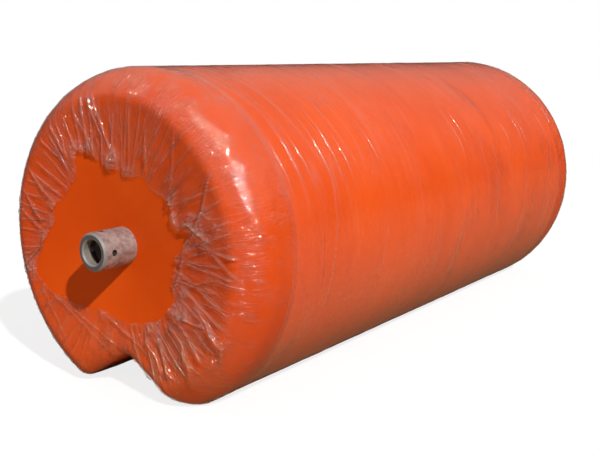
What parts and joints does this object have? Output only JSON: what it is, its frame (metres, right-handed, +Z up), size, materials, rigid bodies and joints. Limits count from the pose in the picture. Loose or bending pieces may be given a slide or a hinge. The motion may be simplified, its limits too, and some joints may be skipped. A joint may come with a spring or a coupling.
{
  "type": "pipeline buoy",
  "caption": "Long foam-filled cylindrical float with rounded rims, a saddle groove for a pipe along its underside and a cross-drilled steel tube on its axis, wrapped in clear film.",
  "frame": {"origin": "on the ground under the middle of the buoy, which stands on the two lobes beside its groove", "axes": "+X along the buoy to the far end of the picture, +Z up, -Y to the side that the picture shows"},
  "size_m": [3.67, 1.5052, 1.4185],
  "materials": {
    "orange_skin": "smooth sprayed polyurethane, satin",
    "tube_steel": "dull mottled zinc-dipped steel, machined ends",
    "clear_film": "clear stretch film, glossy and wrinkled"
  },
  "bodies": {
    "root": {"float_body": "orange_skin", "through_tube": "tube_steel", "film_barrel": "clear_film", "film_end_near": "clear_film", "film_end_far": "clear_film"}
  },
  "joints": []
}
